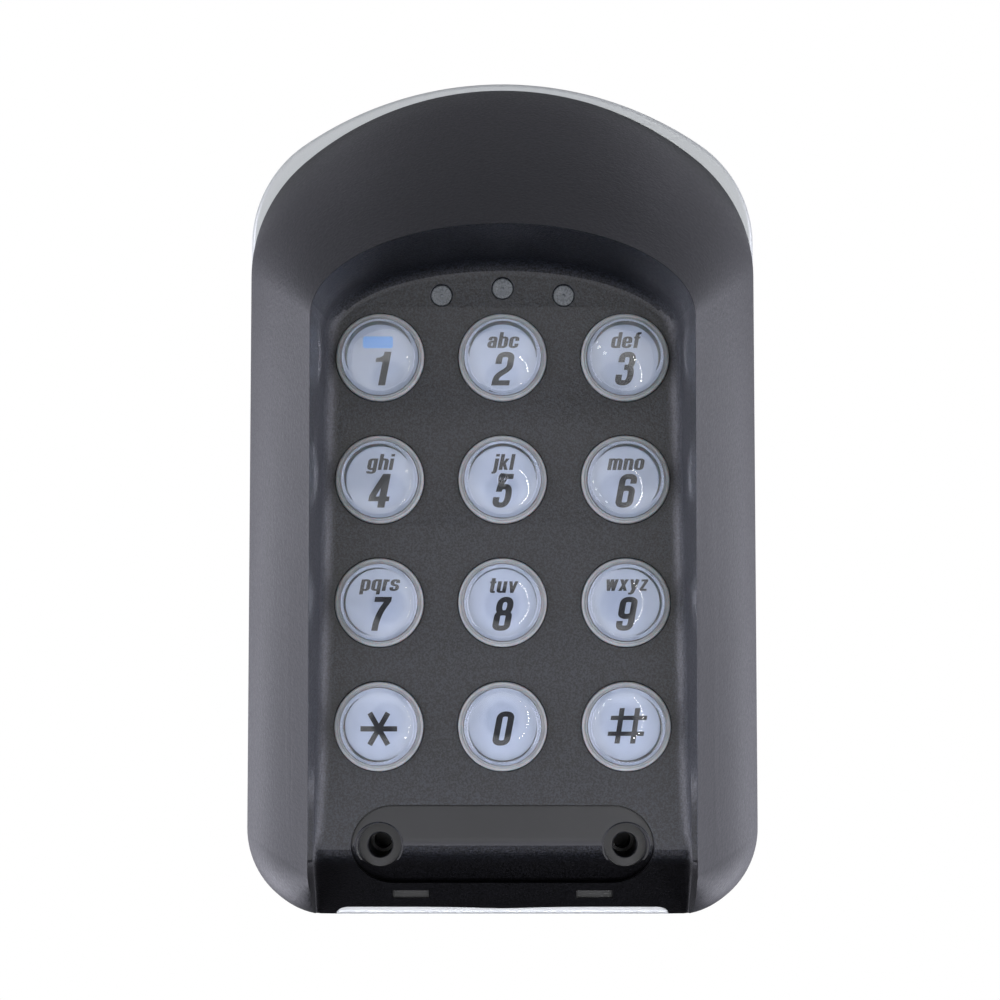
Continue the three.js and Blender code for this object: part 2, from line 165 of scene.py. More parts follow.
def opening_half_width(z):
    fraction = (OPENING_SPRING - z) / (OPENING_SPRING - BOTTOM)
    return OPENING_HALF_TOP + (OPENING_HALF_BOTTOM - OPENING_HALF_TOP) * max(0, fraction)


def hood_depth(z):
    slope = (HOOD - OPENING_BOTTOM_DEPTH) / (OPENING_TOP - OPENING_BOTTOM)
    return OPENING_BOTTOM_DEPTH + (z - OPENING_BOTTOM) * slope


def opening_arch(side_grow, top_grow, steps):
    half = opening_half_width(OPENING_SPRING) + side_grow
    rise = OPENING_TOP - OPENING_SPRING + top_grow
    return [(x * half, OPENING_SPRING + z * rise) for x, z in arc(0, 0, 1, 0, 90, steps)]


def opening_ring(corner_steps=24, arch_steps=40):
    corner_z = CHEEK_BOTTOM + CHEEK_CORNER
    corner_x = opening_half_width(corner_z) - CHEEK_CORNER
    right = [(0, CHEEK_BOTTOM)]
    right += arc(corner_x, corner_z, CHEEK_CORNER, -90, 0, corner_steps)
    right += [(opening_half_width(-10), -10)]
    right += opening_arch(0, 0, 2 * arch_steps)
    return right + mirror_left(right[1:-1])


# ---------- mesh building ----------


def new_object(name, vertices, faces):
    """Object from millimetre vertices, with its faces turned outwards."""
    mesh = bpy.data.meshes.new(name)
    mesh.from_pydata([Vector(v) * MM for v in vertices], [], faces)
    builder = bmesh.new()
    builder.from_mesh(mesh)
    bmesh.ops.remove_doubles(builder, verts=builder.verts, dist=1e-7)
    bmesh.ops.recalc_face_normals(builder, faces=builder.faces)
    if builder.calc_volume(signed=True) < 0:
        bmesh.ops.reverse_faces(builder, faces=builder.faces)
    builder.to_mesh(mesh)
    builder.free()
    obj = bpy.data.objects.new(name, mesh)
    bpy.context.scene.collection.objects.link(obj)
    return obj


def loft(name, rings, ladder_start=False):
    """Closed skin over equal rings of (x, y, z). A ladder cap joins the two mirrored halves."""
    count = len(rings[0])
    vertices = [point for ring in rings for point in ring]
    faces = []
    for r in range(len(rings) - 1):
        for i in range(count):
            j = (i + 1) % count
            faces.append((r * count + i, r * count + j, (r + 1) * count + j, (r + 1) * count + i))
    if ladder_start:
        for i in range(count // 2):
            quad = (i, i + 1, count - 2 - i, count - 1 - i)
            faces.append(tuple(dict.fromkeys(quad)))
    else:
        faces.append(tuple(range(count)))
    faces.append(tuple((len(rings) - 1) * count + i for i in range(count)))
    return new_object(name, vertices, [face for face in faces if len(face) > 2])


def prism(name, outline, near, far):
    return loft(name, [[(x, -near, z) for x, z in outline], [(x, -far, z) for x, z in outline]])


def turned(name, x, z, profile, sides=72):
    """Turned piece from (radius, depth) points. A profile off the axis at both ends is a ring."""
    ring = profile[0][0] > 0
    vertices = []
    for radius, depth in profile:
        for i in range(sides):
            angle = 2 * math.pi * i / sides
            vertices.append((x + radius * math.cos(angle), -depth, z + radius * math.sin(angle)))
    rows = len(profile)
    faces = []
    for r in range(rows if ring else rows - 1):
        s = (r + 1) % rows
        for i in range(sides):
            j = (i + 1) % sides
            faces.append((r * sides + i, r * sides + j, s * sides + j, s * sides + i))
    return new_object(name, vertices, faces)


def block(name, x0, x1, z0, z1, near, far):
    return prism(name, [(x0, z0), (x1, z0), (x1, z1), (x0, z1)], near, far)


def combine(target, tool, operation):
    """Joins or cuts target with tool, then removes the tool."""
    modifier = target.modifiers.new("combine", "BOOLEAN")
    modifier.operation = operation
    modifier.solver = "MANIFOLD"
    modifier.object = tool
    depsgraph = bpy.context.evaluated_depsgraph_get()
    result = bpy.data.meshes.new_from_object(target.evaluated_get(depsgraph))
    target.modifiers.clear()
    target.data = result
    bpy.data.objects.remove(tool)
    return target


def cut(target, tool):
    return combine(target, tool, "DIFFERENCE")


def join(target, tool):
    return combine(target, tool, "UNION")


def copy_of(obj, name, offset=(0, 0, 0)):
    twin = bpy.data.objects.new(name, obj.data.copy())
    bpy.context.scene.collection.objects.link(twin)
    twin.data.transform(Matrix.Translation(Vector(offset) * MM))
    return twin


def smooth(obj, degrees=30):
    obj.data.shade_smooth()
    obj.data.set_sharp_from_angle(angle=math.radians(degrees))


def finish_piece(obj, body, material_slot, *materials, sharp_degrees=30):
    smooth(obj, sharp_degrees)
    obj.data.materials.clear()
    for material in materials:
        obj.data.materials.append(material)
    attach(obj, body)


# ---------- front cover and back housing ----------


def hood_rings(thickness, steps, corner_steps, arch_steps):
    """Rings from the cover's rim to the hood opening, pushed inwards by thickness."""
    rim = cover_outline(0, corner_steps, arch_steps)
    opening = opening_ring(corner_steps, arch_steps)
    rings = []
    for step in range(steps + 1):
        t = step / steps
        ring = []
        for (x, z), (xo, zo) in zip(rim, opening):
            across = math.hypot(xo - x, zo - z)
            forward = hood_depth(zo) - JOINT
            length = math.hypot(across, forward)
            push = HOOD_BULGE * math.sin(math.pi * t) - thickness
            out_x = (x - xo) / across * forward / length
            out_z = (z - zo) / across * forward / length
            depth = JOINT + forward * t + push * across / length
            ring.append((x + (xo - x) * t + out_x * push, -depth, z + (zo - z) * t + out_z * push))
        rings.append(ring)
    return rings


CREASE_Z = -56.3
CREASE_ROUNDING = 4.0
CHIN_SLOPE = 0.68


def panel_floor(z, floor):
    """Depth of the recess floor: flat, then turned back down the chin ramp."""
    reach = CREASE_ROUNDING * math.tan(0.5 * math.atan(1 / CHIN_SLOPE))
    below = CREASE_Z + reach - z
    if below <= 0:
        return floor
    turn = math.atan(1 / CHIN_SLOPE)
    run = CREASE_ROUNDING * math.sin(turn)
    if below < run:
        return floor - (CREASE_ROUNDING - math.sqrt(CREASE_ROUNDING**2 - below**2))
    return floor - CREASE_ROUNDING * (1 - math.cos(turn)) - (below - run) / CHIN_SLOPE


def recess(name, grow, floor, fillet, lip):
    """Everything in front of the recessed panel, with a fillet at its foot and a rounded lip."""
    far = 60
    arch_steps = 72
    crease = [CREASE_Z + 3.3 - 0.25 * i for i in range(27)]
    sides = [-80, -70, -66, *reversed(crease), *range(-50, 22, 4)]

    def fillet_at(z):
        """The fillet shrinks on the chin ramp."""
        return fillet * min(1, max(0.3, (z - CREASE_Z) / 10 + 0.8))

    def fillet_height(z):
        """The fillet flattens where the wall above it is low."""
        return min(fillet_at(z), max(0.2, hood_depth(z) - panel_floor(z, floor) - 0.5))

    def outline(side_grow, top_grow):
        right = [(opening_half_width(z) + side_grow(z), z) for z in sides]
        right += opening_arch(side_grow(OPENING_SPRING), top_grow, arch_steps)
        return right + mirror_left(right[:-1])

    def foot(angle):
        tuck, lift = 1 - math.sin(angle), 1 - math.cos(angle)
        share = 1 - fillet * lift / 16
        points = outline(
            lambda z: grow - WALL_DRAFT * share * min(1, max(0.2, (z - BOTTOM) / 14)) - fillet_at(z) * tuck,
            grow - CEILING_DRAFT * share - fillet * tuck,
        )
        return [(x, -(panel_floor(z, floor) + fillet_height(z) * lift), z) for x, z in points]

    def edge(flare, raise_by):
        points = outline(lambda z: grow + flare, grow + flare)
        ring = []
        for x, z in points:
            depth = max(hood_depth(z) + raise_by, panel_floor(z, floor) + fillet_height(z) + 0.1)
            ring.append((x, -depth, z))
        return ring

    rings = [foot(math.radians(90 * i / 8)) for i in range(9)] if fillet else [foot(0)]
    if lip:
        for i in range(6):
            angle = math.radians(90 * i / 5)
            rings.append(edge(lip * (1 - math.cos(angle)), lip * (math.sin(angle) - 1)))
        rings.append(edge(lip, far - HOOD))
    else:
        rings.append(edge(0, 0))
        rings.append(edge(0, far - HOOD))
    return loft(name, rings, ladder_start=True)


POCKET_HALF_WIDTH = 23.3
POCKET_TOP = -48.7
POCKET_BOTTOM = -61.4
POCKET_DEPTH = 0.9
POCKET_DROP = POCKET_DEPTH * 0.6
GROOVE_WIDTH = 0.22
GROOVE_DEPTH = 0.35
CLIP_SLOT_X = 14.5
CLIP_SLOT_HALF = 2.85
CLIP_SLOT_BOTTOM = -64.2
CLIP_SLOT_TOP = -62.7
CLIP_SLOT_FLOOR = 9.6
BOSS_RADIUS = 5.2
BOSS_BACK = 8.6
BORE_MOUTH_RADIUS = 3.9
BOARD_POST_RADIUS = 2.4
PILOT_RADIUS = 1.2


def pocket_outline(grow=0.0, steps=40):
    radius = (POCKET_TOP - POCKET_BOTTOM) / 2 + grow
    z = (POCKET_TOP + POCKET_BOTTOM) / 2
    x = POCKET_HALF_WIDTH - (POCKET_TOP - POCKET_BOTTOM) / 2
    return arc(x, z, radius, -90, 90, steps) + arc(-x, z, radius, 90, 270, steps)


def in_pocket(x, z):
    radius = (POCKET_TOP - POCKET_BOTTOM) / 2
    middle = (POCKET_TOP + POCKET_BOTTOM) / 2
    reach = max(0, abs(x) - (POCKET_HALF_WIDTH - radius))
    return math.hypot(reach, z - middle) < radius + 0.02


def in_channel(x, z):
    """Inside the hood opening or the channel that runs from it down to the bottom edge."""
    if z < OPENING_SPRING:
        return abs(x) < opening_half_width(z) + 0.02
    rise = (z - OPENING_SPRING) / (OPENING_TOP - OPENING_SPRING)
    return math.hypot(x / opening_half_width(z), rise) < 1.001


def rounded_mouth(radius, near, mouth, rounding, steps=5):
    """Profile of a hole cutter that opens out in a quarter round where it meets the surface."""
    profile = [(0, near), (radius, near)]
    for i in range(steps + 1):
        angle = math.radians(90 * i / steps)
        flare = rounding * (1 - math.cos(angle))
        profile.append((radius + flare, mouth - rounding * (1 - math.sin(angle))))
    profile += [(radius + rounding, mouth + 3), (0, mouth + 3)]
    return profile


def notch_outline():
    """Shallow notch in the cover's bottom edge, its upper edge dipping slightly in the middle."""
    half = 26.6
    top = BOTTOM + 1.4
    width = 2.0
    dip = 0.28
    dip_spread = 6.5
    right = [(half + 0.8, BOTTOM - 2), (half, BOTTOM)]
    for x, z in arc(0, 0, 1, 0, 90, 6)[1:]:
        right.append((half - width + width * x, BOTTOM + (top - BOTTOM) * z))
    for x in range(24, 0, -2):
        right.append((float(x), top - dip * math.exp(-((x / dip_spread) ** 2))))
    return right + [(0, top - dip)] + mirror_left(right)


def make_front_cover():
    body = loft("front_cover_shell", hood_rings(0, 28, 24, 40))
    cut(body, recess("recess", 0, PANEL, 2.3, 0.35))
    step = copy_of(body, "pocket_step", (0, POCKET_DEPTH, POCKET_DROP))
    pocket = cut(prism("pocket", pocket_outline(), 8, 30), step)
    low = copy_of(body, "groove_step", (0, POCKET_DEPTH + GROOVE_DEPTH, POCKET_DROP))
    groove = cut(prism("groove", pocket_outline(), 8, 30), low)
    cut(groove, prism("groove_core", pocket_outline(-GROOVE_WIDTH), 7, 31))
    blank = copy_of(body, "blank")

    inner = hood_rings(SHELL, 8, 8, 12)
    mouth = [(x, -(JOINT - 1), z) for x, _, z in inner[0]]
    hollow = loft("hollow", [mouth, *inner])
    cut(hollow, recess("inner_recess", SHELL, PANEL - SHELL, 0, 0))
    cut(body, hollow)

    for side in (-1, 1):
        profile = [(0, BOSS_BACK), (BOSS_RADIUS, BOSS_BACK), (BOSS_RADIUS, PANEL), (0, PANEL)]
        boss = turned("boss", side * SCREW_X, SCREW_Z, profile)
        boss = combine(boss, copy_of(blank, "limit"), "INTERSECT")
        join(body, boss)
    board_low, _ = node_box("circuit_board")
    for screw in BOARD_SCREWS:
        x, z = node_centre(screw)
        near = -board_low.y + 0.05
        profile = [(0, near), (BOARD_POST_RADIUS, near), (BOARD_POST_RADIUS, PANEL), (0, PANEL)]
        post = turned("post", x, z, profile, 32)
        join(body, combine(post, copy_of(blank, "limit"), "INTERSECT"))
        pilot = [(0, near - 1), (PILOT_RADIUS, near - 1), (PILOT_RADIUS, near + 5), (0, near + 5)]
        cut(body, turned("pilot", x, z, pilot, 24))
    bpy.data.objects.remove(blank)

    cut(body, pocket)
    cut(body, groove)
    for side in (-1, 1):
        x = side * SCREW_X
        bore = [
            (0, JOINT),
            (SCREW_SHANK_RADIUS, JOINT),
            (SCREW_SHANK_RADIUS, SCREW_SEAT - 0.12),
            (2.05, SCREW_SEAT),
            (3.3, SCREW_SEAT),
            (3.42, SCREW_SEAT + 1.7),
            (3.62, SCREW_SEAT + 1.75),
            (SCREW_HEAD_RADIUS, PANEL - POCKET_DEPTH - 0.2),
            (BORE_MOUTH_RADIUS, PANEL - POCKET_DEPTH),
            (BORE_MOUTH_RADIUS, PANEL + 3),
            (0, PANEL + 3),
        ]
        cut(body, turned("bore", x, SCREW_Z, bore))
        left, right = side * CLIP_SLOT_X - CLIP_SLOT_HALF, side * CLIP_SLOT_X + CLIP_SLOT_HALF
        slot = block("clip_slot", left, right, CLIP_SLOT_BOTTOM, CLIP_SLOT_TOP, CLIP_SLOT_FLOOR, 20)
        cut(body, slot)
    for name in KEYS:
        x, z = node_centre(f"key_cap_{name}")
        mouth = rounded_mouth(KEY_HOLE_RADIUS, PANEL - 4, PANEL, 0.1)
        cut(body, turned("key_hole", x, z, mouth))
    for name in LIGHTS:
        x, z = node_centre(f"led_window_{name}")
        mouth = rounded_mouth(LIGHT_RADIUS, PANEL - 4, PANEL, 0.12)
        cut(body, turned("light_hole", x, z, mouth, 40))
    cut(body, prism("notch", notch_outline(), JOINT - 1, 20))
    return body


BACK_ROUNDING = 1.0
RIM_ROUNDING = 0.7
WALL_HOLES = ((0, 47), (-22, -35), (22, -35))
WALL_SCREW_RADIUS = 2.3
WALL_MOUTH_RADIUS = 2.9
CABLE_HOLE_RADIUS = 7.0
CABLE_MOUTH_RADIUS = 7.3
POST_RADIUS = 4.2
POST_PILOT_RADIUS = 1.4


def back_hole(radius, mouth, chamfer):
    """Profile of a hole through the housing's floor, opening out at the wall side."""
    return [(0, -1), (mouth, -1), (mouth, 0), (radius, chamfer), (radius, FLOOR + 1), (0, FLOOR + 1)]


def make_back_housing():
    profile = []
    for i in range(7):
        angle = math.radians(90 * i / 6)
        profile.append((BACK_ROUNDING - math.sin(angle), BACK_ROUNDING - math.cos(angle)))
    for i in range(7):
        angle = math.radians(90 * i / 6)
        depth = JOINT - RIM_ROUNDING + RIM_ROUNDING * math.sin(angle)
        profile.append((RIM_ROUNDING * (1 - math.cos(angle)), depth))
    rings = [[(x, -depth, z) for x, z in housing_outline(inset)] for inset, depth in profile]
    body = loft("back_housing_shell", rings)
    tongue_top = JOINT + TONGUE_RISE
    join(body, prism("tongue", cover_outline(TONGUE_INSET, 12, 20), JOINT - 1, tongue_top))
    cut(body, prism("tray", cover_outline(TONGUE_INSET + TONGUE, 12, 20), FLOOR, tongue_top + 1))
    for side in (-1, 1):
        top = JOINT + 2.2
        post = [(0, FLOOR - 1), (POST_RADIUS, FLOOR - 1), (POST_RADIUS, top), (0, top)]
        join(body, turned("screw_post", side * SCREW_X, SCREW_Z, post, 48))
        start, end = FLOOR + 1, JOINT + 3
        pilot = [(0, start), (POST_PILOT_RADIUS, start), (POST_PILOT_RADIUS, end), (0, end)]
        cut(body, turned("pilot", side * SCREW_X, SCREW_Z, pilot, 32))
    for x, z in WALL_HOLES:
        cut(body, turned("wall_hole", x, z, back_hole(WALL_SCREW_RADIUS, WALL_MOUTH_RADIUS, 0.6), 40))
    x, z = node_centre("cable_grommet")
    cut(body, turned("cable_hole", x, z, back_hole(CABLE_HOLE_RADIUS, CABLE_MOUTH_RADIUS, 0.3), 64))
    return body


# ---------- keys ----------

PAD_POCKET = PANEL + PAD_PROUD - 1.7
PAD_ROUNDING = 0.32
FLANGE_RADIUS = PAD_RADIUS + 0.95
FLANGE_THICKNESS = 1.2


def make_pad(name):
    """Silicone plunger with a rounded rim and a fine groove where the cap sits."""
    x, z = node_centre(f"key_pad_{name}")
    back = -pad_high.y
    flange = PANEL - SHELL - 0.15
    rim = PANEL + PAD_PROUD
    under = flange - FLANGE_THICKNESS
    profile = [(0, back), (2.4, back), (2.6, back + 0.2), (2.6, under)]
    profile += [(FLANGE_RADIUS, under), (FLANGE_RADIUS, flange), (PAD_RADIUS, flange)]
    for i in range(7):
        angle = math.radians(90 * i / 6)
        tuck, drop = 1 - math.cos(angle), 1 - math.sin(angle)
        profile.append((PAD_RADIUS - PAD_ROUNDING * tuck, rim - PAD_ROUNDING * drop))
    groove = [(6.4, 0), (6.32, 0.06), (6.2, 0.08), (6.12, 0.02), (6.02, 0.06)]
    profile += [(radius, rim - depth) for radius, depth in groove]
    profile += [(CAP_RADIUS + 0.04, rim - 0.2), (CAP_RADIUS + 0.04, PAD_POCKET), (0, PAD_POCKET)]
    return turned(f"pad_{name}", x, z, profile, 80)


def make_legend(name):
    """Printed disc with a finely rounded front edge."""
    x, z = node_centre(f"key_legend_{name}")
    back = -legend_high.y
    edge = 0.06
    profile = [(0, back), (DISC_RADIUS, back), (DISC_RADIUS, LEGEND_FRONT - edge)]
    profile += [(DISC_RADIUS - edge * 0.3, LEGEND_FRONT - edge * 0.3)]
    profile += [(DISC_RADIUS - edge, LEGEND_FRONT), (0, LEGEND_FRONT)]
    return turned(f"legend_{name}", x, z, profile, 72)


def make_cap(name):
    """Clear cap: skirt round the legend, upright side, rounded shoulder and shallow dome."""
    x, z = node_centre(f"key_cap_{name}")
    ceiling = LEGEND_FRONT + 0.06
    inner = LEGEND_RADIUS + 0.06
    profile = [(0, ceiling), (inner, ceiling), (inner, CAP_SEAT), (CAP_RADIUS, CAP_SEAT)]
    shoulder = 0.75
    dome_edge = CAP_RADIUS - shoulder
    dome_radius = 30.0
    sag = dome_radius - math.sqrt(dome_radius**2 - dome_edge**2)
    lean = math.asin(dome_edge / dome_radius)
    shoulder_top = CAP_CROWN - sag
    profile.append((CAP_RADIUS, shoulder_top - shoulder * math.cos(lean)))
    for i in range(1, 9):
        angle = lean + (math.pi / 2 - lean) * (1 - i / 8)
        across = dome_edge - shoulder * math.sin(lean) + shoulder * math.sin(angle)
        along = shoulder_top - shoulder * math.cos(lean) + shoulder * math.cos(angle)
        profile.append((across, along))
    pip = 0.44 if name == "5" else 0
    for i in range(1, 10):
        radius = pip + (dome_edge - pip) * (1 - i / 9)
        profile.append((radius, CAP_CROWN - dome_radius + math.sqrt(dome_radius**2 - radius**2)))
    if pip:
        crown = profile[-1][1]
        for radius, rise in ((0.36, 0.09), (0.26, 0.15), (0.13, 0.18), (0, 0.19)):
            profile.append((radius, crown + rise))
    return turned(f"cap_{name}", x, z, profile, 88)


INK = 0.02

# Stroke letters in hundredths of the height of a capital. "curve" and "loop" lines are rounded
# from their corner points, "bar" is a straight stroke cut level, and "area" is an outline.
# A stroke has the thickness of its upright parts and that of its level parts.
STEM = 19
DIGIT_STROKE = (18, 15.5)
LETTER_STROKE = (20, 13)
BOWL = "loop 9.5,6 9.5,36 9.5,66 39,66 39,36 39,6"
ARCH = "curve 10,34 10,66 39,66 39,40 39,0"
GLYPHS = {
    "0": "loop 9,7.7 9,35 9,65 9,92.3 41.5,92.3 41.5,65 41.5,35 41.5,7.7",
    "1": "area 22,0 42,0 42,100 22,100; area 2,70 30,70 30,100 25,100 21,89 13,83.5 2,82",
    "2": "curve 9,64 9,92.3 43,92.3 43,66 43,50 10,28 10,8; area 0,0 51.5,0 51.5,15 0,15",
    "3": "curve 9,69 9,92.3 40,92.3 40,54 20,54; curve 20,54 41.5,54 41.5,7.7 9,7.7 9,32",
    "4": "area 29,0 50,0 50,100 29,100; area 0,19 59,19 59,33 0,33; "
         "area 0,24 15,24 43,92 43,100 28,100 0,36",
    "5": "area 10,85 47,85 47,100 10,100; area 4,47 21,47 26,100 10,100; "
         "curve 12,52 18,62 42,62 42,7.7 9,7.7 9,31",
    "6": "loop 9,7.7 9,30 9,57.5 41.5,57.5 41.5,32 41.5,7.7; curve 9,28 9,60 9,92.3 41.5,92.3 41.5,71",
    "7": "area 2,85 50,85 50,100 2,100; curve 41,88 25,58 18,24 18,0",
    "8": "loop 10,53 10,92.3 40.5,92.3 40.5,53; loop 9,7.7 9,30 9,53 42,53 42,30 42,7.7",
    "9": "loop 41.5,92.3 41.5,70 41.5,42.5 9,42.5 9,68 9,92.3; curve 41.5,72 41.5,40 41.5,7.7 9,7.7 9,29",
    "a": "curve 11,48 11,66 37,66 37,40 37,0; loop 9.5,6 9.5,38 37,42 37,6",
    "b": f"area 0,0 19,0 19,100 0,100; {BOWL}",
    "c": "curve 39,45 39,66 9.5,66 9.5,36 9.5,6 39,6 39,27",
    "d": f"area 29.5,0 48.5,0 48.5,100 29.5,100; {BOWL}",
    "e": "area 12,30 42,30 42,42 12,42; curve 39,33 39,66 9.5,66 9.5,36 9.5,6 39,6 39,23",
    "f": "curve 15,0 15,60 15,94 34,94; area 0,60 32,60 32,72 0,72",
    "g": f"{BOWL}; curve 39,72 39,10 39,-17 9,-17 9,-8",
    "h": f"area 0,0 19,0 19,100 0,100; {ARCH}",
    "i": "area 0,0 19,0 19,72 0,72; area 0,85 19,85 19,100 0,100",
    "j": "curve 17,72 17,20 17,-17 0,-16; area 7.5,85 26.5,85 26.5,100 7.5,100",
    "k": "area 0,0 19,0 19,100 0,100; bar 13,24 37,72; bar 21,45 38,0",
    "l": "area 0,0 19,0 19,100 0,100",
    "m": "area 0,0 19,0 19,72 0,72; curve 10,34 10,66 36,66 36,40 36,0; curve 36,34 36,66 62,66 62,40 62,0",
    "n": f"area 0,0 19,0 19,72 0,72; {ARCH}",
    "o": BOWL,
    "p": f"area 0,-22 19,-22 19,72 0,72; {BOWL}",
    "q": f"area 29.5,-22 48.5,-22 48.5,72 29.5,72; {BOWL}",
    "r": "area 0,0 19,0 19,72 0,72; curve 10,34 11,62 31,65",
    "s": "curve 37,49 37,66 9.5,66 9.5,38 37,34 37,6 8.5,6 8.5,23",
    "t": "curve 15,92 15,30 15,5 32,6; area 0,60 31,60 31,72 0,72",
    "u": "curve 9.5,72 9.5,32 9.5,6 39,6 39,38; area 29.5,0 48.5,0 48.5,72 29.5,72",
    "v": "bar 9,72 24,0; bar 24,0 39,72",
    "w": "bar 8,72 19,0; bar 19,0 31,72; bar 31,72 43,0; bar 43,0 54,72",
    "x": "bar 9,72 36,0; bar 36,72 9,0",
    "y": "bar 9,72 25,6; curve 39,72 25,4 18,-17 2,-16",
    "z": "area 3,59 37,59 37,72 3,72; area 1,0 37,0 37,13 1,13; bar 8,8 30,64",
}
SLANT = 0.19


def rounded_line(points, closed):
    """Corner cutting: three rounds turn a few corner points into a smooth line."""
    for _ in range(3):
        fresh = [] if closed else [points[0]]
        for i in range(len(points) if closed else len(points) - 1):
            start, end = Vector(points[i]), Vector(points[(i + 1) % len(points)])
            first_fixed = not closed and i == 0
            last_fixed = not closed and i == len(points) - 2
            if not first_fixed:
                fresh.append(start.lerp(end, 0.25))
            if not last_fixed:
                fresh.append(start.lerp(end, 0.75))
        if not closed:
            fresh.append(points[-1])
        points = [Vector(p) for p in fresh]
    return points


def stroke_sides(points, closed, stroke):
    """Both sides of a line whose upright parts are thicker than its level parts."""
    left, right = [], []
    upright, level = stroke
    count = len(points)
    for i, point in enumerate(points):
        before = points[i - 1] if closed or i else point
        after = points[(i + 1) % count] if closed or i < count - 1 else point
        along = (Vector(after) - Vector(before)).normalized()
        half = 0.5 * math.hypot(upright * along.y, level * along.x)
        side = Vector((-along.y, along.x)) * half
        left.append(Vector(point) + side)
        right.append(Vector(point) - side)
    return left, right


def ring_prism(name, outer, inner, near, far):
    count = len(outer)
    vertices = []
    for outline, depth in ((outer, near), (outer, far), (inner, far), (inner, near)):
        vertices += [(x, -depth, z) for x, z in outline]
    faces = []
    for r in range(4):
        s = (r + 1) % 4
        for i in range(count):
            j = (i + 1) % count
            faces.append((r * count + i, r * count + j, s * count + j, s * count + i))
    return new_object(name, vertices, faces)


def glyph_strokes(character):
    strokes = []
    for line in GLYPHS[character].split("; "):
        kind, *pairs = line.split(" ")
        strokes.append((kind, [tuple(float(v) for v in pair.split(",")) for pair in pairs]))
    return strokes


def glyph_width(character, stroke):
    """Furthest right that the strokes of a character reach."""
    edge = 0
    for kind, points in glyph_strokes(character):
        if kind in ("loop", "curve"):
            left, right = stroke_sides(rounded_line(points, kind == "loop"), kind == "loop", stroke)
            points = left + right
        elif kind == "bar":
            points = level_bar(points, STEM * 0.85)
        edge = max(edge, max(x for x, _ in points))
    return edge


def level_bar(points, width):
    (x0, z0), (x1, z1) = points
    half = width / 2 * math.hypot(x1 - x0, z1 - z0) / abs(z1 - z0)
    return [(x0 - half, z0), (x0 + half, z0), (x1 + half, z1), (x1 - half, z1)]


def ink_text(name, text, x, z, height, widen, stroke):
    """Slanted letters as a thin inlay on a legend disc. The baseline is at z, centred on x."""
    near, far = LEGEND_FRONT, LEGEND_FRONT + INK
    gap = 7
    total = sum(glyph_width(c, stroke) for c in text) + gap * (len(text) - 1)
    unit = height / 100
    pen = 0
    obj = None

    def placed(points, pen):
        middle = 50 if text in KEYS else 36
        return [
            (x + ((px + pen - total / 2) * widen + SLANT * (pz - middle)) * unit, z + pz * unit)
            for px, pz in points
        ]

    for character in text:
        for kind, points in glyph_strokes(character):
            if kind in ("loop", "curve"):
                points = rounded_line(points, kind == "loop")
                left, right = stroke_sides(points, kind == "loop", stroke)
            if kind == "loop":
                piece = ring_prism(name, placed(left, pen), placed(right, pen), near, far)
            elif kind == "curve":
                piece = prism(name, placed(left + right[::-1], pen), near, far)
            elif kind == "bar":
                piece = prism(name, placed(level_bar(points, STEM * 0.85), pen), near, far)
            else:
                piece = prism(name, placed(points, pen), near, far)
            obj = piece if obj is None else join(obj, piece)
        pen += glyph_width(character, stroke) + gap
    obj.name = name
    return obj


def joined_strokes(name, outlines):
    obj = None
    for outline in outlines:
        piece = prism(name, outline, LEGEND_FRONT, LEGEND_FRONT + INK)
        obj = piece if obj is None else join(obj, piece)
    obj.name = name
    return obj


def make_star(x, z):
    length, half = 2.72, 0.39
    outlines = []
    for degrees in (0, 60, 120):
        along = Vector((math.cos(math.radians(degrees)), math.sin(math.radians(degrees))))
        across = Vector((-along.y, along.x)) * half
        centre = Vector((x, z))
        ends = [centre - along * length, centre + along * length]
        outlines.append([ends[0] - across, ends[1] - across, ends[1] + across, ends[0] + across])
    return joined_strokes("print_star", outlines)


def make_hash(x, z):
    """Two leaning uprights and two level bars, whose ends follow the lean."""
    half_height = 2.62
    upright, level = 0.38, 0.32
    inner_end, outer_end = 2.62, 2.74
    lean = 0.158 * half_height
    outlines = []
    for offset in (-1.15, 1.15):
        foot, head = x + offset - lean, x + offset + lean
        outlines.append([(foot - upright, z - half_height), (foot + upright, z - half_height),
                         (head + upright, z + half_height), (head - upright, z + half_height)])
    for offset in (-1.17, 1.17):
        shift = x + offset * 0.2
        low, high = z + offset - level, z + offset + level
        outlines.append([(shift - outer_end, low), (shift + inner_end, low),
                         (shift + outer_end, high), (shift - inner_end, high)])
    return joined_strokes("print_hash", outlines)


def make_badge(x, z):
    """Plain slim pill above the digit 1."""
    half, rise, corner = 2.25, 0.89, 0.35
    points = arc(half - corner, -rise + corner, corner, -90, 0, 5)
    points += arc(half - corner, rise - corner, corner, 0, 90, 5)
    points += mirror_left(points)
    outline = [(x - 0.35 + px, z + 2.3 + pz) for px, pz in points]
    return prism("badge_1", outline, LEGEND_FRONT, LEGEND_FRONT + INK)


# groups as on a telephone's keys
LETTERS = {"2": "abc", "3": "def", "4": "ghi", "5": "jkl", "6": "mno", "7": "pqrs", "8": "tuv", "9": "wxyz"}
DIGIT_HEIGHT = 5.05
DIGIT_BASE = -4.2
LETTER_HEIGHT = 2.39
LETTER_BASE = 1.44
PRINT_RIGHT = 0.12
DIGIT_WIDEN = 1.03
LETTER_WIDEN = 1.22


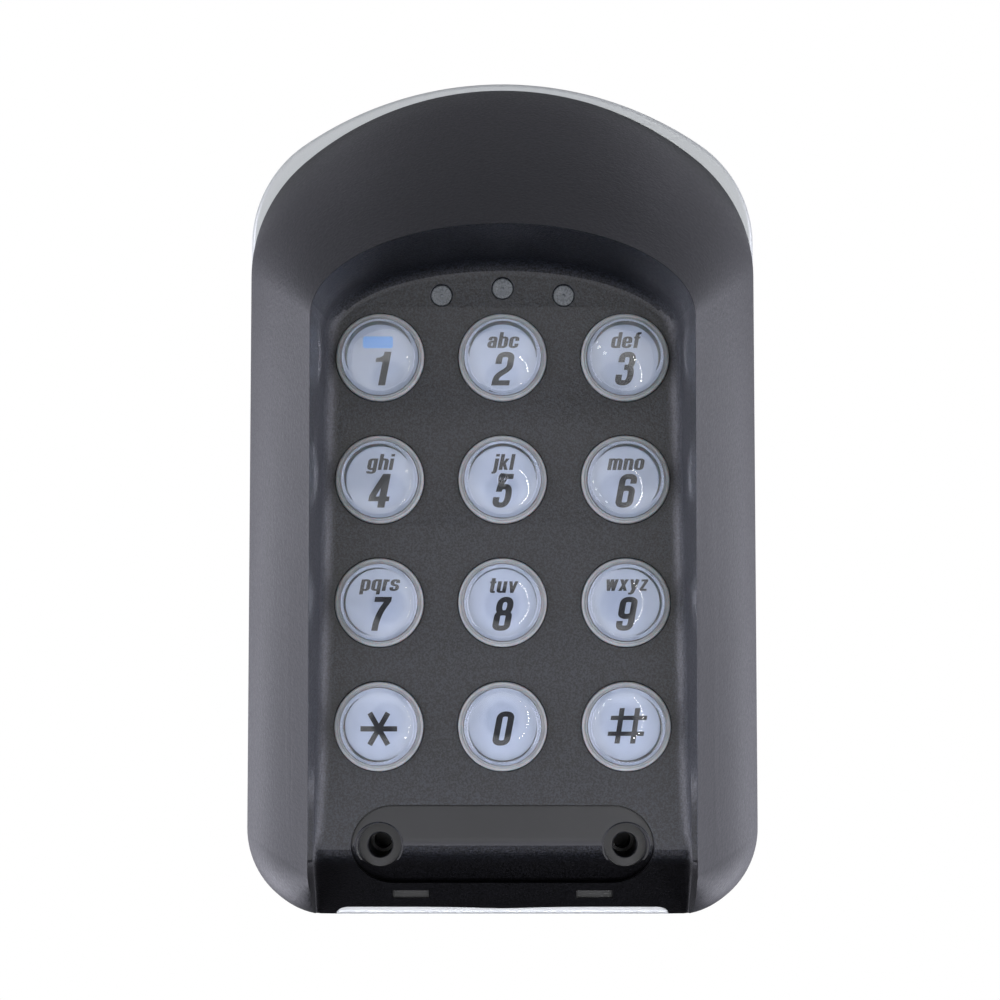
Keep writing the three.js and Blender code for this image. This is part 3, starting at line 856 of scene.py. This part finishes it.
def make_prints(name):
    x, z = node_centre(f"key_legend_{name}")
    if name == "star":
        return [make_star(x, z - 0.35)]
    if name == "hash":
        return [make_hash(x + 0.15, z + 0.1)]
    base = z - DIGIT_HEIGHT / 2 - 0.3 if name == "0" else z + DIGIT_BASE
    middle = x + PRINT_RIGHT
    prints = [ink_text(f"print_{name}", name, middle, base, DIGIT_HEIGHT, DIGIT_WIDEN, DIGIT_STROKE)]
    if name in LETTERS:
        word = LETTERS[name]
        base = z + LETTER_BASE + (0.3 if name in ("7", "9") else 0)
        letters = ink_text(f"letters_{name}", word, middle, base, LETTER_HEIGHT, LETTER_WIDEN, LETTER_STROKE)
        prints.append(letters)
    return prints


# ---------- signal windows ----------


def make_window(name):
    """Light pipe end: shallow dished face with a small moulding pip in the middle."""
    x, z = node_centre(f"led_window_{name}")
    low, high = node_box(f"led_window_{name}")
    front = -low.y
    radius = LIGHT_RADIUS - 0.06
    profile = [(0, -high.y), (radius, -high.y), (radius, front - 0.22)]
    for i in range(1, 6):
        angle = math.radians(90 * i / 5)
        profile.append((radius - 0.2 * (1 - math.cos(angle)), front - 0.2 + 0.2 * math.sin(angle)))
    profile += [(1.05, front - 0.04), (0.5, front - 0.1), (0.26, front - 0.1), (0.2, front - 0.04)]
    profile += [(0.1, front), (0, front)]
    return turned(f"signal_window_{name}", x, z, profile, 48)


# ---------- materials ----------


class Finish:
    """A Principled material with its procedural detail, laid out in object space."""

    def __init__(self, name, **inputs):
        self.material = bpy.data.materials.new(name)
        self.material.use_nodes = True
        self.tree = self.material.node_tree
        self.shader = self.tree.nodes["Principled BSDF"]
        for socket, value in inputs.items():
            self.shader.inputs[socket.replace("_", " ")].default_value = value
        self.place = self.tree.nodes.new("ShaderNodeTexCoord").outputs["Object"]

    def noise(self, size_mm, detail=2.0, roughness=0.5, stretch=None):
        source = self.place
        if stretch:
            mapping = self.tree.nodes.new("ShaderNodeMapping")
            mapping.inputs["Scale"].default_value = stretch
            self.tree.links.new(source, mapping.inputs["Vector"])
            source = mapping.outputs["Vector"]
        texture = self.tree.nodes.new("ShaderNodeTexNoise")
        texture.inputs["Scale"].default_value = 1 / (size_mm * MM)
        texture.inputs["Detail"].default_value = detail
        texture.inputs["Roughness"].default_value = roughness
        self.tree.links.new(source, texture.inputs["Vector"])
        return texture.outputs["Fac"]

    def cells(self, size_mm):
        texture = self.tree.nodes.new("ShaderNodeTexVoronoi")
        texture.inputs["Scale"].default_value = 1 / (size_mm * MM)
        self.tree.links.new(self.place, texture.inputs["Vector"])
        return texture.outputs["Distance"]

    def spread(self, source, low, high, from_low=0.3, from_high=0.7):
        ramp = self.tree.nodes.new("ShaderNodeMapRange")
        ramp.inputs["From Min"].default_value = from_low
        ramp.inputs["From Max"].default_value = from_high
        ramp.inputs["To Min"].default_value = low
        ramp.inputs["To Max"].default_value = high
        self.tree.links.new(source, ramp.inputs["Value"])
        return ramp.outputs["Result"]

    def blend(self, factor, first, second):
        mix = self.tree.nodes.new("ShaderNodeMix")
        mix.data_type = "RGBA"
        for socket, value in (("A", first), ("B", second)):
            if isinstance(value, tuple):
                mix.inputs[socket].default_value = (*value, 1)
            else:
                self.tree.links.new(value, mix.inputs[socket])
        self.tree.links.new(factor, mix.inputs["Factor"])
        return mix.outputs["Result"]

    def colours(self, source, first, second):
        """Base colour that wanders between two near shades."""
        shade = self.blend(self.spread(source, 0, 1), first, second)
        self.tree.links.new(shade, self.shader.inputs["Base Color"])
        return self

    def sideways(self, low, high):
        """From 0 where the surface faces up, down or forwards to 1 where it faces sideways."""
        geometry = self.tree.nodes.new("ShaderNodeNewGeometry")
        split = self.tree.nodes.new("ShaderNodeSeparateXYZ")
        size = self.tree.nodes.new("ShaderNodeMath")
        size.operation = "ABSOLUTE"
        self.tree.links.new(geometry.outputs["Normal"], split.inputs["Vector"])
        self.tree.links.new(split.outputs["X"], size.inputs[0])
        return self.spread(size.outputs["Value"], 0, 1, low, high)

    def upwards(self, low_mm, high_mm):
        """From 0 below one height of the object to 1 above another."""
        split = self.tree.nodes.new("ShaderNodeSeparateXYZ")
        self.tree.links.new(self.place, split.inputs["Vector"])
        return self.spread(split.outputs["Z"], 0, 1, low_mm * MM, high_mm * MM)

    def rough(self, source, low, high):
        self.tree.links.new(self.spread(source, low, high), self.shader.inputs["Roughness"])
        return self

    def bump(self, source, height_mm, strength=1.0):
        bump = self.tree.nodes.new("ShaderNodeBump")
        bump.inputs["Strength"].default_value = strength
        bump.inputs["Distance"].default_value = height_mm * MM
        self.tree.links.new(source, bump.inputs["Height"])
        previous = self.shader.inputs["Normal"].links
        if previous:
            self.tree.links.new(previous[0].from_socket, bump.inputs["Normal"])
        self.tree.links.new(bump.outputs["Normal"], self.shader.inputs["Normal"])
        return self


def noise_finish(name, colour, rough, relief, **inputs):
    """Finish whose colour, roughness and relief each follow a noise: its settings, then its range."""
    made = Finish(name, **inputs)
    made.colours(made.noise(*colour[0]), *colour[1:])
    made.rough(made.noise(*rough[0]), *rough[1:])
    made.bump(made.noise(*relief[0]), *relief[1:])
    return made


def make_finishes():
    finishes = {}

    black = Finish("cover_black_grained", IOR=1.52)
    black.colours(black.noise(9, 3), (0.0075, 0.0078, 0.0092), (0.0095, 0.0098, 0.0115))
    black.rough(black.noise(0.5, 3, 0.6), 0.42, 0.52)
    black.bump(black.noise(0.5, 3, 0.65), 0.07).bump(black.cells(0.9), 0.012)
    finishes["grained"] = black

    # Painted light and shade: the flanks are painted lighter, as if lit, and the chin darker, as if shaded,
    # than the panel. The flanks are painted lighter and the chin darker than the panel, to reach the
    # photo's tones. The second, duller copy is painted shade for faces that look down.
    for name, gloss in (("panel", 0.5), ("painted_shade", 0.2)):
        panel = Finish(f"cover_black_{name}", IOR=1.52, Specular_IOR_Level=gloss)
        speck = panel.spread(panel.noise(0.26, 2, 0.7), 0, 1, 0.42, 0.6)
        front = panel.blend(speck, (0.0, 0.0, 0.0), (0.015, 0.0175, 0.024))
        # painted light: a lighter black where the surface faces sideways
        flank = panel.blend(speck, (0.028, 0.029, 0.033), (0.062, 0.066, 0.075))
        # painted shade: a near black below the crease
        chin = panel.blend(speck, (0.0, 0.0, 0.0), (0.004, 0.004, 0.005))
        shade = panel.blend(panel.sideways(0.35, 0.85), front, flank)
        shade = panel.blend(panel.upwards(-58.0, -54.0), chin, shade)
        panel.tree.links.new(shade, panel.shader.inputs["Base Color"])
        panel.rough(panel.noise(0.5, 3, 0.6), 0.36, 0.48)
        panel.bump(panel.noise(0.34, 2, 0.7), 0.09).bump(panel.cells(0.7), 0.015)
        finishes[name] = panel

    finishes["smooth"] = noise_finish(
        "cover_black_smooth",
        ((7, 2), (0.0075, 0.0078, 0.009), (0.009, 0.0094, 0.011)),
        ((1.1, 2), 0.33, 0.38),
        ((0.6, 2), 0.004),
        IOR=1.52,
    )

    finishes["silver"] = noise_finish(
        "housing_silver_satin",
        ((0.12, 1), (0.47, 0.49, 0.475), (0.55, 0.57, 0.555)),
        ((0.35, 2), 0.34, 0.44),
        ((0.18, 2), 0.004),
        Metallic=0.3, IOR=1.5,
    )

    finishes["silicone"] = noise_finish(
        "silicone_translucent",
        ((1.6, 3), (0.235, 0.252, 0.262), (0.285, 0.302, 0.312)),
        ((0.4, 2), 0.38, 0.5),
        ((0.25, 2), 0.003),
        IOR=1.41, Subsurface_Weight=0.35, Subsurface_Scale=0.0015,
    )

    finishes["clear"] = noise_finish(
        "cap_clear",
        ((4, 1), (0.97, 0.98, 1.0), (0.94, 0.96, 0.985)),
        ((2.5, 2), 0.01, 0.02),
        ((3.2, 1), 0.002),
        IOR=1.49, Transmission_Weight=1.0,
    )

    finishes["legend"] = noise_finish(
        "legend_pale_blue",
        ((1.2, 3), (0.47, 0.535, 0.66), (0.51, 0.575, 0.70)),
        ((0.5, 2), 0.45, 0.55),
        ((0.15, 2), 0.002),
        IOR=1.45,
    )

    for name, dark, light in (
        ("ink", (0.010, 0.011, 0.015), (0.017, 0.018, 0.023)),
        ("ink_badge", (0.17, 0.44, 0.92), (0.2, 0.48, 0.97)),
    ):
        finishes[name] = noise_finish(
            name, ((0.5, 3), dark, light), ((0.2, 2), 0.4, 0.55), ((0.12, 2), 0.002), IOR=1.5)

    finishes["window"] = noise_finish(
        "window_smoke",
        ((0.8, 3), (0.088, 0.099, 0.11), (0.118, 0.131, 0.143)),
        ((0.4, 2), 0.22, 0.34),
        ((0.3, 2), 0.003),
        IOR=1.5, Transmission_Weight=0.2,
    )

    finishes["rubber"] = noise_finish(
        "rubber_black",
        ((2.5, 3), (0.012, 0.012, 0.012), (0.021, 0.021, 0.022)),
        ((0.5, 3), 0.62, 0.8),
        ((0.3, 3), 0.012),
        IOR=1.5,
    )

    board = Finish("board_green", IOR=1.5, Coat_Weight=0.4, Coat_Roughness=0.2)
    board.colours(board.noise(1.4, 3, 0.6), (0.008, 0.07, 0.025), (0.015, 0.12, 0.04))
    board.rough(board.noise(0.6, 2), 0.35, 0.5)
    board.bump(board.cells(1.2), 0.02)
    finishes["board"] = board

    finishes["chip"] = noise_finish(
        "chip_black",
        ((0.7, 2), (0.012, 0.012, 0.013), (0.02, 0.02, 0.021)),
        ((0.3, 2), 0.5, 0.65),
        ((0.15, 2), 0.006),
        IOR=1.5,
    )

    finishes["terminal"] = noise_finish(
        "terminal_green",
        ((3, 2), (0.02, 0.17, 0.06), (0.03, 0.21, 0.08)),
        ((0.6, 2), 0.35, 0.45),
        ((0.4, 2), 0.004),
        IOR=1.5,
    )

    finishes["lamp"] = noise_finish(
        "lamp_clear",
        ((1.0, 2), (0.86, 0.88, 0.9), (0.93, 0.94, 0.95)),
        ((0.8, 2), 0.08, 0.18),
        ((0.5, 2), 0.003),
        IOR=1.52, Transmission_Weight=0.8,
    )

    finishes["steel"] = noise_finish(
        "steel",
        ((0.8, 3), (0.48, 0.48, 0.49), (0.58, 0.58, 0.6)),
        ((0.3, 2, 0.5, (1, 1, 6)), 0.25, 0.42),
        ((0.2, 2, 0.5, (1, 1, 6)), 0.003),
        Metallic=1.0,
    )

    return {name: finish.material for name, finish in finishes.items()}


finish = make_finishes()

# ---------- assembly ----------

# Faces of the cover by material: grained hood, recess, smooth pocket, and a duller recess material, which is
# painted shade, for what looks down or lies below the crease.
COVER_LOOKS = ["grained", "panel", "smooth", "painted_shade"]
PANEL_SLOT, SMOOTH_SLOT, PAINTED_SHADE_SLOT = 1, 2, 3
LOOKS_DOWN = -0.35
SLOT_REACH = 18.0

cover = make_front_cover()
finish_piece(cover, "casing", "cover_black", *[finish[look] for look in COVER_LOOKS])
for polygon in cover.data.polygons:
    centre = polygon.center / MM
    normal = polygon.normal
    looks_down = normal.z < LOOKS_DOWN
    inward = centre.x * normal.x < 0 and abs(normal.x) > 0.3
    beside_opening = abs(centre.x) < opening_half_width(centre.z) + 0.5 and centre.z < OPENING_SPRING
    if (inward and beside_opening) or in_channel(centre.x, centre.z):
        # painted shade: faces that look down or lie below the crease take the duller copy
        polygon.material_index = PAINTED_SHADE_SLOT if looks_down or centre.z < CREASE_Z - 0.6 else PANEL_SLOT
    sunk = -centre.y < panel_floor(centre.z, PANEL) - 0.3
    below_pocket = centre.z < POCKET_BOTTOM and abs(centre.x) < SLOT_REACH
    if normal.y < -0.3 and sunk and (in_pocket(centre.x, centre.z) or below_pocket):
        # painted shade: pocket faces that look down take the duller copy
        polygon.material_index = PAINTED_SHADE_SLOT if looks_down else SMOOTH_SLOT
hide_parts("front_cover")

housing = make_back_housing()
finish_piece(housing, "casing", "housing_silver", finish["silver"], finish["smooth"])
for polygon in housing.data.polygons:
    centre = polygon.center / MM
    depth = -centre.y
    tray_floor = FLOOR - 0.1 < depth < JOINT - 1 and polygon.normal.y < -0.5
    if depth > JOINT + 0.02 or tray_floor:
        polygon.material_index = 1
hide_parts("back_housing")

for key in KEYS:
    body = f"key_{key}"
    pad = make_pad(key)
    finish_piece(pad, body, "silicone", finish["silicone"])
    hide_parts(f"key_pad_{key}")
    legend = make_legend(key)
    finish_piece(legend, body, "key_legend", finish["legend"])
    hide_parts(f"key_legend_{key}")
    for printed in make_prints(key):
        finish_piece(printed, body, "key_legend", finish["ink"])
    cap = make_cap(key)
    finish_piece(cap, body, "key_clear", finish["clear"], sharp_degrees=50)
    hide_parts(f"key_cap_{key}")

badge = make_badge(*node_centre("key_legend_1"))
finish_piece(badge, "key_1", "key_legend", finish["ink_badge"])

for light in LIGHTS:
    window = make_window(light)
    finish_piece(window, "casing", "window_smoke", finish["window"])
    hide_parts(f"led_window_{light}")

CARRIED = {
    "cover_seal": "rubber",
    "cable_grommet": "rubber",
    "circuit_board": "board",
    "keypad_mat": "silicone",
    "terminal_block": "terminal",
    "buzzer": "chip",
    "controller_chip": "chip",
}
CARRIED.update({f"led_{light}": "lamp" for light in LIGHTS})
CARRIED.update({screw: "steel" for screw in BOARD_SCREWS})
for node, name in CARRIED.items():
    carried = frame["nodes"][node]
    carried.data.materials.clear()
    carried.data.materials.append(finish[name])

# ---------- studio ----------


def aim(obj, target):
    direction = Vector(target) - obj.location
    obj.rotation_euler = direction.to_track_quat("-Z", "Y").to_euler()


COOL = (0.88, 0.88, 1.0)


def soft_light(name, place, target, width, height, watts):
    data = bpy.data.lights.new(name, "AREA")
    data.shape = "RECTANGLE"
    data.size = width
    data.size_y = height
    data.energy = watts
    data.color = COOL
    light = bpy.data.objects.new(name, data)
    bpy.context.scene.collection.objects.link(light)
    light.location = place
    aim(light, target)
    light.visible_camera = False


scene = bpy.context.scene
scene.view_settings.view_transform = "Standard"
scene.view_settings.look = "None"

world = bpy.data.worlds.new("studio")
scene.world = world
world.use_nodes = True
background = world.node_tree.nodes["Background"]
seen = world.node_tree.nodes.new("ShaderNodeLightPath")
strength = world.node_tree.nodes.new("ShaderNodeMapRange")
strength.inputs["To Min"].default_value = 0.004
strength.inputs["To Max"].default_value = 1.0
world.node_tree.links.new(seen.outputs["Is Camera Ray"], strength.inputs["Value"])
world.node_tree.links.new(strength.outputs["Result"], background.inputs["Strength"])
background.inputs["Color"].default_value = (1, 1, 1, 1)

# name, place and target in metres, width, height, watts
SOFT_LIGHTS = [
    ("side_left", (-0.42, -0.24, -0.06), (0, 0, 0), 0.3, 0.6, 3.0),
    ("side_right", (0.42, -0.24, -0.06), (0, 0, 0), 0.3, 0.6, 2.7),
    ("back_left", (-0.42, 0.24, -0.15), (0, 0, -0.03), 0.5, 0.6, 1.95),
    ("back_right", (0.42, 0.24, -0.15), (0, 0, -0.03), 0.5, 0.6, 1.8),
    ("low_left", (-0.34, 0.2, -0.32), (0, 0, -0.04), 0.35, 0.25, 0.45),
    ("low_right", (0.34, 0.2, -0.32), (0, 0, -0.04), 0.35, 0.25, 0.35),
    ("shoulder_left", (-0.36, 0.24, 0.32), (0, 0, 0.04), 0.45, 0.4, 0.27),
    ("shoulder_right", (0.36, 0.24, 0.32), (0, 0, 0.04), 0.45, 0.4, 0.36),
    ("top_back", (0.0, 0.1, 0.5), (0, 0, 0), 0.6, 0.6, 0.42),
    ("low_front", (0.0, -0.5, -0.5), (0, 0, -0.05), 0.5, 0.3, 0.9),
    ("sill", (0.0, -0.06, -0.12), (0, -0.012, -0.066), 0.12, 0.01, 0.0055),
    ("fill_left", (-0.27, -0.35, -0.02), (0, 0, 0), 0.1, 0.5, 0.28),
    ("fill_right", (0.27, -0.35, -0.02), (0, 0, 0), 0.1, 0.5, 0.33),
]
for row in SOFT_LIGHTS:
    soft_light(*row)
bpy.data.lights["sill"].spread = math.radians(50)

# a pale ring-shaped card behind the camera, which fades out towards its middle
CARD_Y = -0.362
CARD_CENTRE = (0.0, -0.0232)
CARD_SIDES = 60
card_radii = [0.045, 0.055, 0.065, 0.075, 0.09, 0.12, 0.16, 0.2]
card_points = []
for radius in card_radii:
    full_turn = 360 - 360 / CARD_SIDES
    ring = arc(CARD_CENTRE[0] / MM, CARD_CENTRE[1] / MM, radius / MM, 0, full_turn, CARD_SIDES - 1)
    card_points += [(x, CARD_Y / MM, z) for x, z in ring]
card_faces = []
for r in range(len(card_radii) - 1):
    near, far = r * CARD_SIDES, (r + 1) * CARD_SIDES
    for i in range(CARD_SIDES):
        j = (i + 1) % CARD_SIDES
        card_faces.append((near + i, far + i, far + j, near + j))
card = new_object("studio_card", card_points, card_faces)
card_look = bpy.data.materials.new("card_glow")
card_look.use_nodes = True
card_tree = card_look.node_tree
glow = card_tree.nodes.new("ShaderNodeEmission")
where = card_tree.nodes.new("ShaderNodeTexCoord")
offset = card_tree.nodes.new("ShaderNodeVectorMath")
offset.operation = "DISTANCE"
offset.inputs[1].default_value = (CARD_CENTRE[0], CARD_Y, CARD_CENTRE[1])
ramp = card_tree.nodes.new("ShaderNodeMapRange")
for socket, value in (("From Min", 0.058), ("From Max", 0.076), ("To Min", 0.0), ("To Max", 1.82)):
    ramp.inputs[socket].default_value = value
card_tree.links.new(where.outputs["Object"], offset.inputs[0])
card_tree.links.new(offset.outputs["Value"], ramp.inputs["Value"])
card_tree.links.new(ramp.outputs["Result"], glow.inputs["Strength"])
card_tree.links.new(glow.outputs["Emission"], card_tree.nodes["Material Output"].inputs["Surface"])
card.data.materials.append(card_look)
card.visible_camera = False

# small lamps in an arc on the camera's right
LAMP_RING = 0.1
LAMP_RING_Z = -0.015
LAMP_FIRST = -50
LAMP_STEP = 7
for index in range(15):
    angle = math.radians(LAMP_FIRST + LAMP_STEP * index)
    data = bpy.data.lights.new(f"ring_lamp_{index}", "POINT")
    data.energy = 0.014
    data.shadow_soft_size = 0.0024
    lamp = bpy.data.objects.new(f"ring_lamp_{index}", data)
    scene.collection.objects.link(lamp)
    height = LAMP_RING_Z + LAMP_RING * math.sin(angle)
    lamp.location = (LAMP_RING * math.cos(angle), CARD_Y + 0.005, height)
    lamp.visible_camera = False

# the floor glows a little, so that its edge doesn't show against the white backdrop
FLOOR_REACH = 900
FLOOR_TOP = -550
floor = block(
    "studio_floor", -FLOOR_REACH, FLOOR_REACH, FLOOR_TOP - 10, FLOOR_TOP, -FLOOR_REACH, FLOOR_REACH)
floor_finish = Finish("floor_pale", Emission_Color=(1, 1, 1, 1), Emission_Strength=0.95)
floor_finish.colours(floor_finish.noise(60, 2), (0.3, 0.3, 0.3), (0.34, 0.34, 0.34))
floor_finish.rough(floor_finish.noise(20, 2), 0.7, 0.8)
floor.data.materials.append(floor_finish.material)
floor.visible_diffuse = False
floor.visible_glossy = False
floor.visible_transmission = False

CAMERA_PLACE = (-0.0004, -0.3505, -0.0232)
CAMERA_PITCH = 3.72
camera_data = bpy.data.cameras.new("camera")
camera_data.lens = 76.6
camera_data.sensor_width = 36
camera_data.clip_start = 0.01
camera = bpy.data.objects.new("camera", camera_data)
scene.collection.objects.link(camera)
camera.location = CAMERA_PLACE
camera.rotation_euler = (math.radians(90 + CAMERA_PITCH), 0, 0)
scene.camera = camera
